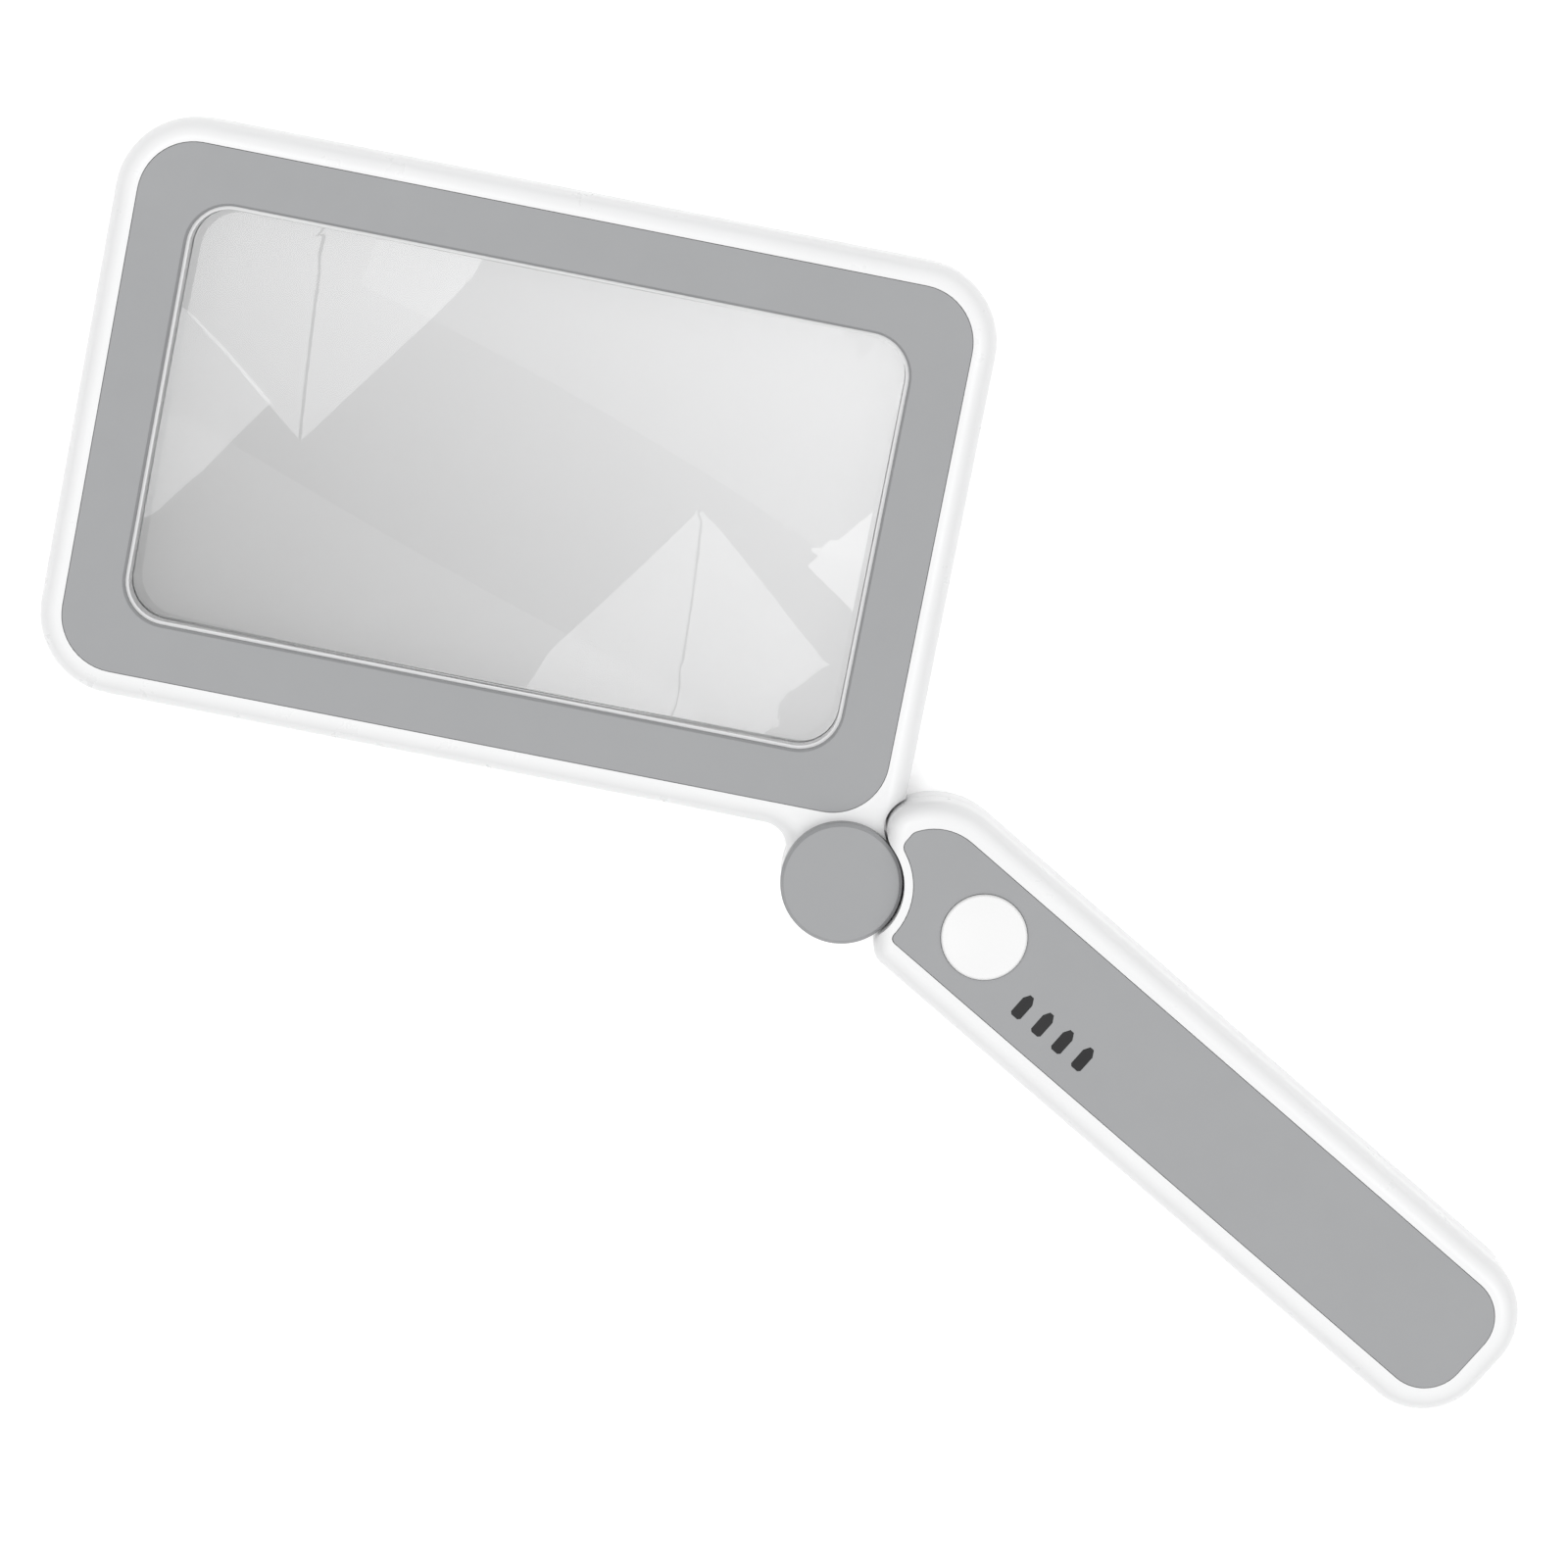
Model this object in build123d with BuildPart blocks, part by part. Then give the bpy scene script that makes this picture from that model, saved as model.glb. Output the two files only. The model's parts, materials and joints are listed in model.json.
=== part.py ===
from build123d import *
import os
from math import acos, atan2, cos, degrees, hypot, pi, radians, sin, sqrt

os.makedirs("parts", exist_ok=True)

# Folding lighted hand magnifier, millimetres.
# It lies on its back with the gray front trims facing +Z and its rear faces on z = 0.
# The origin is on the hinge axis, in the plane of the rear faces.  +X runs along the long
# edges of the lens head, which lies to the left of and above the hinge.  The handle points
# down and to the right, and folds clockwise about the hinge until it lies along the head.

# ---------------------------------------------------------------- driving dimensions
head_length = 133.8
head_width = 87.8
head_thickness = 12.0
head_corner = 12.2
head_wall = 2.0
head_split = 6.0            # height of the joint between the head's two shells
head_right = 7.3            # the head's right edge, from the hinge axis
head_bottom = 6.2           # the head's bottom edge, from the hinge axis
rim_width = 3.6             # bare white rim round the gray bezel
bezel_thickness = 1.2
bezel_corner = 8.6
bezel_window = (109.7, 63.7)
bezel_window_corner = 6.5
window_lip = 0.5            # bare white edge round the window, inside the bezel
window_length = bezel_window[0] - 2 * window_lip
window_width = bezel_window[1] - 2 * window_lip
window_corner = bezel_window_corner - window_lip

handle_open_angle = -30.0   # direction of the handle's axis when it is open
handle_left = -1.05         # near end of the handle's lobe, along the handle
handle_end = 123.8
handle_low = -5.2           # the edge that ends up beside the head
handle_high = 21.7
handle_thickness = 17.0
handle_wall = 1.8
handle_floor = 1.6
handle_split = 8.5
handle_corner = 10.5
panel_thickness = 1.2
seam_bevel = 0.15           # small bevel along the joint between two shells
overcut = 1.0               # how far a cut runs past the face it leaves by
press_fit = 0.02            # radial gap of a pressed-in ring
axial_play = 0.05

lug_radius = 9.15
notch_radius = 9.5          # clearance circle round both lugs and the front cap
lug_gap_low = 6.6           # top of the handle's lug
lug_gap_high = 7.1          # underside of the head's lug
cap_radius = 9.2
cap_height = 3.0
cap_bevel = 0.5
cap_roof = 1.4              # thickness of the cap over its hollow

button_centre = (21.3, 8.3)
button_radius = 6.54
lead_diameter = 0.8

# ---------------------------------------------------------------- derived places
head_x = head_right - head_length / 2
head_y = head_bottom + head_width / 2
head_centre = (head_x, head_y)
bezel_length = head_length - 2 * rim_width
bezel_width = head_width - 2 * rim_width
bezel_floor = head_thickness - bezel_thickness
cavity_length = head_length - 2 * head_wall
cavity_width = head_width - 2 * head_wall
cavity_corner = head_corner - head_wall
handle_plane = Plane(
    origin=(0, 0, 0),
    x_dir=(cos(radians(handle_open_angle)), sin(radians(handle_open_angle)), 0),
    z_dir=(0, 0, 1),
)
panel_floor = handle_thickness - panel_thickness


def save(builder, label):
    """Label one finished piece and write it as its own STEP file."""
    builder.part.label = label
    export_step(builder.part, f"parts/{label}.step")


def polar(radius, angle):
    """Point at a radius and an angle in degrees about the hinge axis."""
    return (radius * cos(radians(angle)), radius * sin(radians(angle)))


# ---------------------------------------------------------------- handle outlines
# All handle outlines are drawn in the handle's own plane: x along the handle from the hinge
# axis, y towards the edge that faces away from the head when the handle is folded.
# The near end is an egg-shaped lobe: a broad arc that touches the upper edge, and a small
# tip arc that touches the broad one and the notch circle.
tip_radius = 4.0
tip_x = handle_left + tip_radius
tip_centre = (tip_x, sqrt((notch_radius + tip_radius) ** 2 - tip_x**2))
tip_angle = degrees(atan2(tip_centre[1], tip_centre[0]))
lobe_radius = 12.5
lobe_y = handle_high - lobe_radius
lobe_centre = (tip_x + sqrt((lobe_radius - tip_radius) ** 2 - (tip_centre[1] - lobe_y) ** 2), lobe_y)
join_angle = degrees(atan2(tip_centre[1] - lobe_y, tip_x - lobe_centre[0]))
heel_radius = 3.2
heel_y = handle_low + heel_radius
heel_centre = (sqrt((notch_radius + heel_radius) ** 2 - heel_y**2), heel_y)
heel_angle = degrees(atan2(heel_centre[1], heel_centre[0]))


def handle_far_side(start_x, inset=0.0):
    """Lower edge, far end, upper edge and broad arc of the handle, drawn inset from its outline."""
    low, high, end = handle_low + inset, handle_high - inset, handle_end - inset
    corner = handle_corner - inset
    far_x = end - corner
    Line((start_x, low), (far_x, low))
    CenterArc((far_x, low + corner), corner, 270, 90)
    Line((end, low + corner), (end, high - corner))
    CenterArc((far_x, high - corner), corner, 0, 90)
    Line((far_x, high), (lobe_centre[0], high))
    CenterArc(lobe_centre, lobe_radius - inset, 90, join_angle - 90)


def notched_outline():
    """Handle seen from the front: a long bar whose near end wraps round the hinge."""
    with BuildSketch() as outline:
        with BuildLine():
            handle_far_side(heel_centre[0])
            CenterArc(tip_centre, tip_radius, join_angle, 180 + tip_angle - join_angle)
            CenterArc((0, 0), notch_radius, tip_angle, heel_angle - tip_angle)
            CenterArc(heel_centre, heel_radius, 180 + heel_angle, 90 - heel_angle)
        make_face()
    return outline.sketch


def hull_outline():
    """The same bar with its near end closed by the straight line that spans the notch."""
    span = (tip_centre[0] - heel_centre[0], tip_centre[1] - heel_centre[1])
    distance = hypot(*span)
    line_angle = degrees(atan2(span[1], span[0]))
    side_angle = line_angle + degrees(acos((heel_radius - tip_radius) / distance))
    side = polar(1, side_angle)
    heel_touch = (heel_centre[0] + heel_radius * side[0], heel_centre[1] + heel_radius * side[1])
    tip_touch = (tip_centre[0] + tip_radius * side[0], tip_centre[1] + tip_radius * side[1])
    with BuildSketch() as outline:
        with BuildLine():
            handle_far_side(heel_centre[0])
            CenterArc(tip_centre, tip_radius, join_angle, side_angle - join_angle)
            Line(tip_touch, heel_touch)
            CenterArc(heel_centre, heel_radius, side_angle, 270 - side_angle)
        make_face()
    return outline.sketch


handle_notched = notched_outline()
handle_hull = hull_outline()
handle_cavity = offset(handle_notched, amount=-handle_wall, kind=Kind.ARC)


# ---------------------------------------------------------------- head outlines
ear_radius = 4.0            # inside radius where the ear leaves the head's bottom edge
ear_y = head_bottom - ear_radius
ear_centre = (-sqrt((lug_radius + ear_radius) ** 2 - ear_y**2), ear_y)
ear_reach = (16.0, 12.5)    # how far the ear is drawn before it is cut back round the lobe
lobe_gap = 0.4


def head_outline():
    """Head with its hinge ear, before it is cut back round the handle's lobe."""
    inside_y = head_bottom + head_corner + 1
    with BuildSketch() as outline:
        with Locations(head_centre):
            RectangleRounded(head_length, head_width, head_corner)
        with BuildLine():
            Polyline(
                ear_centre,
                (0, 0),
                (ear_reach[0], 0),
                ear_reach,
                (head_right, ear_reach[1]),
                (head_right, inside_y),
                (ear_centre[0], inside_y),
                close=True,
            )
        make_face()
        with Locations(ear_centre):
            Circle(ear_radius, mode=Mode.SUBTRACT)
    return outline.sketch


def lobe_clearance():
    """Space kept free beside the ear for the handle, drawn in the handle's plane."""
    with BuildSketch() as space:
        add(offset(handle_notched, amount=lobe_gap, kind=Kind.ARC))
        Circle(lug_radius, mode=Mode.SUBTRACT)
    return space.sketch


head_ear_outline = head_outline()
lobe_space = lobe_clearance()


def ring_sketch(outer, outer_corner, inner, inner_corner):
    """Rounded rectangular ring round the lens, centred on the head."""
    with BuildSketch() as ring:
        with Locations(head_centre):
            RectangleRounded(*outer, outer_corner)
            RectangleRounded(*inner, inner_corner, mode=Mode.SUBTRACT)
    return ring.sketch


def head_plate(length, width, corner):
    """Rounded rectangle centred on the head."""
    with BuildSketch() as plate:
        with Locations(head_centre):
            RectangleRounded(length, width, corner)
    return plate.sketch


# ---------------------------------------------------------------- lens and its seat
lens_mid = 5.7              # height of the lens's middle plane
lens_flange = 2.0           # thickness of the lens's seating flange
lens_radius = 440.0         # both optical faces
lens_corner_edge = 2.0      # thickness left at the lens's corners
lens_flange_width = 2.2
lens_gap = 0.1

lens_length = window_length - 2 * lens_gap
lens_width = window_width - 2 * lens_gap
flange_length = window_length + 2 * lens_flange_width
flange_width = window_width + 2 * lens_flange_width
flange_corner = window_corner + lens_flange_width
corner_reach = hypot(lens_length / 2 - window_corner, lens_width / 2 - window_corner) + window_corner
lens_sag = lens_radius - sqrt(lens_radius**2 - corner_reach**2)
lens_half = lens_corner_edge / 2 + lens_sag

with BuildPart() as lens:
    with BuildSketch(Plane.XY.offset(lens_mid)):
        with Locations(head_centre):
            RectangleRounded(lens_length, lens_width, window_corner - lens_gap)
    extrude(amount=lens_half + overcut, both=True)
    with Locations((head_x, head_y, lens_mid + lens_half - lens_radius)):
        Sphere(lens_radius, mode=Mode.INTERSECT)
    with Locations((head_x, head_y, lens_mid - lens_half + lens_radius)):
        Sphere(lens_radius, mode=Mode.INTERSECT)
    with BuildSketch(Plane.XY.offset(lens_mid)):
        with Locations(head_centre):
            RectangleRounded(flange_length, flange_width, flange_corner)
    extrude(amount=lens_flange / 2, both=True)
save(lens, "lens")

gasket_thickness = 0.5
seat_wall = 1.3             # thickness of the walls that clamp the lens flange
flange_top = lens_mid + lens_flange / 2
flange_bottom = lens_mid - lens_flange / 2
seat_outer = (window_length + 2 * seat_wall, window_width + 2 * seat_wall)
seat_corner = window_corner + seat_wall
window_size = (window_length, window_width)

with BuildPart() as lens_gasket:
    with BuildSketch(Plane.XY.offset(flange_top)):
        add(ring_sketch(seat_outer, seat_corner, window_size, window_corner))
    extrude(amount=gasket_thickness)
save(lens_gasket, "lens_gasket")

# ---------------------------------------------------------------- head screws' places
screw_inset_x = 59.0
screw_inset_y = 36.1
screw_shank = 1.0
screw_head = 1.9
screw_head_height = 1.2
screw_head_gap = 0.2
screw_shank_gap = 0.15
recess_length = 2.2         # cross recess in a screw's head
recess_width = 0.5
recess_depth = 0.6
boss_radius = 2.3
boss_tab = 1.0              # width of the ledge's tab round a boss
pilot_gap = 0.03
head_screw_places = [
    (head_x + sx * screw_inset_x, head_y + sy * screw_inset_y) for sx in (-1, 0, 1) for sy in (-1, 1)
]
shelf_thickness = 1.9
shelf_floor = bezel_floor - shelf_thickness
shell_gap = 0.1             # gap between a boss and the shelf it meets

# ---------------------------------------------------------------- front shell of the head
head_top_round = 3.2
pin_radius = 3.2
pin_flat = 5.6              # across the two flats that key the pin to the head
pin_fit = 0.04
pin_flange_radius = 4.8
pin_flange_low = 8.7
pin_flange_thickness = 0.7
cap_well_radius = 5.8
peg_radius = 0.9
peg_ring = 7.5
peg_depth = 1.4
peg_angles = (60, 180, 300)
lead_angle = 120.0          # direction in which the leads leave the hinge for the head
lead_top = 11.1             # height at which the leads turn over inside the head's lug
lead_drop_radius = 12.0     # distance at which they reach the head's cavity
lead_drop_height = 8.0
lead_hole_radius = 1.3
tunnel_overlap = 1.5        # how far the tunnel reaches into the lug's well
lead_slope = (lead_top - lead_drop_height) / lead_drop_radius


def lead_tunnel_plane():
    """Plane across the slanting tunnel from the lug's well to the head's cavity."""
    start_radius = cap_well_radius - tunnel_overlap
    x, y = polar(start_radius, lead_angle)
    ux, uy = polar(1, lead_angle)
    return Plane(origin=(x, y, lead_top - lead_slope * start_radius), z_dir=(ux, uy, -lead_slope))


with BuildPart() as head_front_shell:
    with BuildSketch(Plane.XY.offset(head_split)):
        add(head_ear_outline)
    extrude(amount=head_thickness - head_split)
    fillet(head_front_shell.faces().sort_by(Axis.Z)[-1].edges(), head_top_round)
    chamfer(head_front_shell.faces().sort_by(Axis.Z)[0].edges(), seam_bevel)
    # cut back round the handle's lobe, and raised over the handle's lug
    with BuildSketch(handle_plane.offset(head_split)):
        add(lobe_space)
    extrude(amount=head_thickness, mode=Mode.SUBTRACT)
    with BuildSketch(Plane.XY.offset(head_split)):
        Circle(lug_radius)
    extrude(amount=head_thickness - head_split)
    with BuildSketch(Plane.XY.offset(head_split)):
        Circle(notch_radius)
    extrude(amount=lug_gap_high - head_split, mode=Mode.SUBTRACT)
    # recess for the bezel, window, and the cavity round the lens seat
    with BuildSketch(Plane.XY.offset(bezel_floor)):
        add(head_plate(bezel_length, bezel_width, bezel_corner))
    extrude(amount=bezel_thickness, mode=Mode.SUBTRACT)
    with BuildSketch(Plane.XY.offset(head_split)):
        add(head_plate(window_length, window_width, window_corner))
    extrude(amount=head_thickness, mode=Mode.SUBTRACT)
    with BuildSketch(Plane.XY.offset(head_split)):
        add(ring_sketch((cavity_length, cavity_width), cavity_corner, seat_outer, seat_corner))
    extrude(amount=shelf_floor - head_split, mode=Mode.SUBTRACT)
    with BuildSketch(Plane.XY.offset(head_split)):
        add(ring_sketch(seat_outer, seat_corner, window_size, window_corner))
    extrude(amount=flange_top + gasket_thickness - head_split, mode=Mode.SUBTRACT)
    # screw holes through the shelf, under the bezel
    with Locations([(x, y, bezel_floor) for x, y in head_screw_places]):
        CounterBoreHole(
            radius=screw_shank + screw_shank_gap,
            counter_bore_radius=screw_head + screw_head_gap,
            counter_bore_depth=screw_head_height + axial_play,
            depth=shelf_thickness + overcut,
        )
    # hinge lug: well for the pin's flange, keyed hole, peg holes and lead tunnel
    with BuildSketch(Plane.XY.offset(pin_flange_low)):
        Circle(cap_well_radius)
    extrude(amount=head_thickness, mode=Mode.SUBTRACT)
    with BuildSketch(Plane.XY.offset(lug_gap_high)):
        Circle(pin_radius + pin_fit)
        Rectangle(pin_flat + 2 * pin_fit, 3 * pin_radius, mode=Mode.INTERSECT)
    extrude(amount=head_thickness, mode=Mode.SUBTRACT)
    with BuildSketch(Plane.XY.offset(head_thickness)):
        with Locations([polar(peg_ring, angle) for angle in peg_angles]):
            Circle(peg_radius + pilot_gap)
    extrude(amount=-peg_depth, mode=Mode.SUBTRACT)
    with BuildSketch(lead_tunnel_plane()):
        Circle(lead_hole_radius)
    extrude(amount=lead_drop_radius - cap_well_radius + tunnel_overlap, mode=Mode.SUBTRACT)
save(head_front_shell, "head_front_shell")

# ---------------------------------------------------------------- rear shell of the head
head_rear_round = 2.5
diffuser_thickness = 1.2
diffuser_inset = 0.3        # the diffuser sits this far inside the rear face
diffuser_top = diffuser_inset + diffuser_thickness
ledge_width = 2.0
ledge_thickness = 1.2
ledge_top = diffuser_top + ledge_thickness
opening_length = bezel_length - 2 * ledge_width
opening_width = bezel_width - 2 * ledge_width
opening_corner = bezel_corner - ledge_width

with BuildPart() as head_rear_shell:
    with BuildSketch():
        add(head_ear_outline)
    extrude(amount=head_split)
    fillet(head_rear_shell.faces().sort_by(Axis.Z)[0].edges(), head_rear_round)
    chamfer(head_rear_shell.faces().sort_by(Axis.Z)[-1].edges(), seam_bevel)
    with BuildSketch(handle_plane):
        add(lobe_space)
    extrude(amount=head_split, mode=Mode.SUBTRACT)
    with BuildSketch():
        Circle(notch_radius)
    extrude(amount=head_split, mode=Mode.SUBTRACT)
    with BuildSketch():
        add(head_plate(bezel_length, bezel_width, bezel_corner))
    extrude(amount=diffuser_top, mode=Mode.SUBTRACT)
    with BuildSketch():
        add(head_plate(opening_length, opening_width, opening_corner))
    extrude(amount=head_split, mode=Mode.SUBTRACT)
    with BuildSketch(Plane.XY.offset(ledge_top)):
        add(head_plate(cavity_length, cavity_width, cavity_corner))
    extrude(amount=head_split, mode=Mode.SUBTRACT)
    # tabs on the ledge, with bosses that take the head's screws
    with BuildSketch(Plane.XY.offset(diffuser_top)):
        with Locations(head_screw_places):
            Circle(boss_radius + boss_tab)
    extrude(amount=ledge_top - diffuser_top)
    with BuildSketch(Plane.XY.offset(diffuser_top)):
        with Locations(head_screw_places):
            Circle(boss_radius)
            Circle(screw_shank + pilot_gap, mode=Mode.SUBTRACT)
    extrude(amount=shelf_floor - shell_gap - diffuser_top)
save(head_rear_shell, "head_rear_shell")

# ---------------------------------------------------------------- bezel and diffuser
trim_gap = 0.08
bezel_edge = 0.35

with BuildPart() as front_bezel:
    with BuildSketch(Plane.XY.offset(bezel_floor)):
        add(
            ring_sketch(
                (bezel_length - 2 * trim_gap, bezel_width - 2 * trim_gap),
                bezel_corner - trim_gap,
                bezel_window,
                bezel_window_corner,
            )
        )
    extrude(amount=bezel_thickness)
    chamfer(front_bezel.faces().sort_by(Axis.Z)[-1].inner_wires().edges(), bezel_edge)
save(front_bezel, "front_bezel")

with BuildPart() as light_diffuser:
    with BuildSketch(Plane.XY.offset(diffuser_inset)):
        add(
            ring_sketch(
                (bezel_length - 2 * trim_gap, bezel_width - 2 * trim_gap),
                bezel_corner - trim_gap,
                window_size,
                window_corner,
            )
        )
    extrude(amount=diffuser_thickness)
    with BuildSketch(Plane.XY.offset(diffuser_inset)):
        add(ring_sketch(seat_outer, seat_corner, window_size, window_corner))
    extrude(amount=flange_bottom - diffuser_inset)
    chamfer(light_diffuser.faces().sort_by(Axis.Z)[0].inner_wires().edges(), bezel_edge)
save(light_diffuser, "light_diffuser")

# ---------------------------------------------------------------- light ring
board_thickness = 1.0
board_low = 6.2
board_gap = 0.5             # from the board's outer edge to the head's wall
board_seat_gap = 0.8        # from the board's inner edge to the lens's flange
board_boss_gap = 0.3
board_outer = (cavity_length - 2 * board_gap, cavity_width - 2 * board_gap)
board_inner = (flange_length + 2 * board_seat_gap, flange_width + 2 * board_seat_gap)
led_size = (3.5, 2.8, 0.8)
leds_along = 8
leds_across = 4
led_pitch = (14.5, 16.0)     # along the long and the short sides
led_row_x = (board_outer[0] + board_inner[0]) / 4
led_row_y = (board_outer[1] + board_inner[1]) / 4

with BuildPart() as led_board:
    with BuildSketch(Plane.XY.offset(board_low)):
        add(
            ring_sketch(
                board_outer, cavity_corner - board_gap, board_inner, flange_corner + board_seat_gap
            )
        )
        with Locations(head_screw_places):
            Circle(boss_radius + board_boss_gap, mode=Mode.SUBTRACT)
    extrude(amount=board_thickness)
save(led_board, "led_board")

with BuildPart() as light_leds:
    with BuildSketch(Plane.XY.offset(board_low)):
        with Locations(head_centre):
            with GridLocations(led_pitch[0], 2 * led_row_y, leds_along, 2):
                Rectangle(led_size[0], led_size[1])
            with GridLocations(2 * led_row_x, led_pitch[1], 2, leds_across):
                Rectangle(led_size[1], led_size[0])
    extrude(amount=-led_size[2])
save(light_leds, "light_leds")


def screw_group(plane, places, head_bottom_height, length, direction):
    """Cross-recessed screws on one plane; their shanks point along direction (1 or -1)."""
    head_top = head_bottom_height - direction * screw_head_height
    with BuildPart() as screws:
        with BuildSketch(plane.offset(head_top)):
            with Locations(places):
                Circle(screw_head)
        extrude(amount=direction * screw_head_height)
        with BuildSketch(plane.offset(head_bottom_height)):
            with Locations(places):
                Circle(screw_shank)
        extrude(amount=direction * length)
        with BuildSketch(plane.offset(head_top)):
            with Locations(places):
                Rectangle(recess_length, recess_width)
                Rectangle(recess_width, recess_length)
        extrude(amount=direction * recess_depth, mode=Mode.SUBTRACT)
    return screws


head_screw_length = 6.5
head_screw_seat = bezel_floor - screw_head_height - axial_play
head_screws = screw_group(Plane.XY, head_screw_places, head_screw_seat, head_screw_length, -1)
save(head_screws, "head_screws")


# ---------------------------------------------------------------- leads
def lead(points, radii):
    """Insulated lead along straight runs joined by arcs."""
    with BuildPart() as wire:
        with BuildLine() as route:
            FilletPolyline(*points, radius=radii)
        path = route.wires()[0]
        with BuildSketch(Plane(origin=path @ 0, z_dir=path % 0)):
            Circle(lead_diameter / 2)
        sweep(path=path)
    section = pi * lead_diameter**2 / 4
    print(f"lead volume / (section x length) = {wire.part.volume / (section * path.length):.4f}")
    return wire


lead_side = 0.55            # each lead's distance from the hinge axis, to one side
lead_meet = 6.0             # height in the pin's bore where the two lengths meet
lead_meet_gap = 0.4
hinge_bend = 1.4
slack_bend = 3.0
board_run = (5.5, 10.5)     # where the leads touch the light ring's board, and where they end
board_rise = 1.2
board_spread = 0.5
pad_height = board_low + board_thickness + lead_diameter / 2


def head_lead(side):
    """From the pin's bore over the lug, down the tunnel and along the light ring's board."""
    ux, uy = polar(1, lead_angle)
    vx, vy = uy * side * lead_side, -ux * side * lead_side
    end_x, end_y = lead_drop_radius * ux + vx, lead_drop_radius * uy + vy
    pad_y = end_y + board_rise + side * board_spread
    return lead(
        [
            (vx, vy, lead_meet + lead_meet_gap),
            (vx, vy, lead_top),
            (end_x, end_y, lead_drop_height),
            (end_x - board_run[0], pad_y, pad_height),
            (end_x - board_run[1], pad_y, pad_height),
        ],
        [hinge_bend, slack_bend, slack_bend],
    )


head_lead_red = head_lead(1)
save(head_lead_red, "head_lead_red")
head_lead_black = head_lead(-1)
save(head_lead_black, "head_lead_black")

# ---------------------------------------------------------------- hinge
spring_low = 3.75
nut_low = 2.9
nut_flats = 10.0
pin_low = 2.8
pin_bore = 2.1
washer_thickness = 0.45
washer_radius = 8.3
washer_gap = 0.2
spring_sheet = 0.35
spring_radius = 6.2
spring_gap = 0.1
bush_radius = 4.3
lug_floor_low = 4.4
well_radius = 6.9           # well in the rear of the handle's lug
cap_seat_radius = 7.6
rear_cap_thickness = 1.2
rear_cap_bevel = 0.3
running_fit = 0.05

with BuildPart() as hinge_pin:
    with BuildSketch(Plane.XY.offset(pin_low)):
        Circle(pin_radius)
    extrude(amount=lug_gap_high - pin_low)
    with BuildSketch(Plane.XY.offset(lug_gap_high)):
        Circle(pin_radius)
        Rectangle(pin_flat, 3 * pin_radius, mode=Mode.INTERSECT)
    extrude(amount=pin_flange_low - lug_gap_high)
    with BuildSketch(Plane.XY.offset(pin_flange_low)):
        Circle(pin_flange_radius)
    extrude(amount=pin_flange_thickness)
    with BuildSketch(Plane.XY.offset(pin_low)):
        Circle(pin_bore)
    extrude(amount=head_thickness, mode=Mode.SUBTRACT)
save(hinge_pin, "hinge_pin")

with BuildPart() as hinge_nut:
    with BuildSketch(Plane.XY.offset(nut_low)):
        RegularPolygon(nut_flats / 2, 6, major_radius=False)
        Circle(pin_radius + press_fit, mode=Mode.SUBTRACT)
    extrude(amount=spring_low - nut_low - axial_play)
save(hinge_nut, "hinge_nut")

spring_high = lug_floor_low - axial_play

with BuildPart() as disc_spring:
    with BuildSketch(Plane.XZ):
        with BuildLine():
            Polyline(
                (pin_radius + spring_gap, spring_low),
                (spring_radius, spring_high - spring_sheet),
                (spring_radius, spring_high),
                (pin_radius + spring_gap, spring_low + spring_sheet),
                close=True,
            )
        make_face()
    revolve(axis=Axis.Z)
save(disc_spring, "disc_spring")

with BuildPart() as hinge_bush:
    with BuildSketch(Plane.XY.offset(lug_floor_low)):
        Circle(bush_radius)
        Circle(pin_radius + running_fit, mode=Mode.SUBTRACT)
    extrude(amount=lug_gap_low - lug_floor_low)
save(hinge_bush, "hinge_bush")

with BuildPart() as friction_washer:
    with BuildSketch(Plane.XY.offset(lug_gap_low)):
        Circle(washer_radius)
        Circle(pin_radius + washer_gap, mode=Mode.SUBTRACT)
    extrude(amount=washer_thickness)
save(friction_washer, "friction_washer")

with BuildPart() as hinge_front_cap:
    with BuildSketch(Plane.XY.offset(head_thickness)):
        Circle(cap_radius)
    extrude(amount=cap_height)
    chamfer(hinge_front_cap.faces().sort_by(Axis.Z)[-1].edges(), cap_bevel)
    with BuildSketch(Plane.XY.offset(head_thickness)):
        Circle(cap_well_radius)
    extrude(amount=cap_height - cap_roof, mode=Mode.SUBTRACT)
    with BuildSketch(Plane.XY.offset(head_thickness)):
        with Locations([polar(peg_ring, angle) for angle in peg_angles]):
            Circle(peg_radius)
    extrude(amount=axial_play - peg_depth)
save(hinge_front_cap, "hinge_front_cap")

with BuildPart() as hinge_rear_cap:
    with BuildSketch():
        Circle(cap_seat_radius - pilot_gap)
    extrude(amount=rear_cap_thickness)
    chamfer(hinge_rear_cap.faces().sort_by(Axis.Z)[0].edges(), rear_cap_bevel)
save(hinge_rear_cap, "hinge_rear_cap")

# ---------------------------------------------------------------- handle's inner layout
lead_level = 2.1            # height of the leads that enter the hinge
main_board_x = (16.8, 52.2)
main_board_y = (-2.0, 17.4)
main_board_z = (9.4, 10.6)
mid_y = (handle_low + handle_high) / 2
battery_x = (60.0, 107.0)
battery_width = 19.0
battery_z = (2.5, 9.7)
rib_gap = 0.8               # from the battery's end to the middle of a rib
rib_height = 4.0
rib_thickness = 1.0
charge_board_x = (109.6, 121.4)
charge_board_z = (5.9, 6.9)
socket_width = 9.0
socket_height = 3.2
socket_x = (handle_end - 7.9, handle_end - 0.5)
socket_gap = 0.15
socket_shell = 0.35
socket_plane = Plane(
    origin=handle_plane.from_local_coords((socket_x[0], mid_y, charge_board_z[1] + socket_height / 2)),
    x_dir=handle_plane.y_dir,
    z_dir=handle_plane.x_dir,
)
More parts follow.
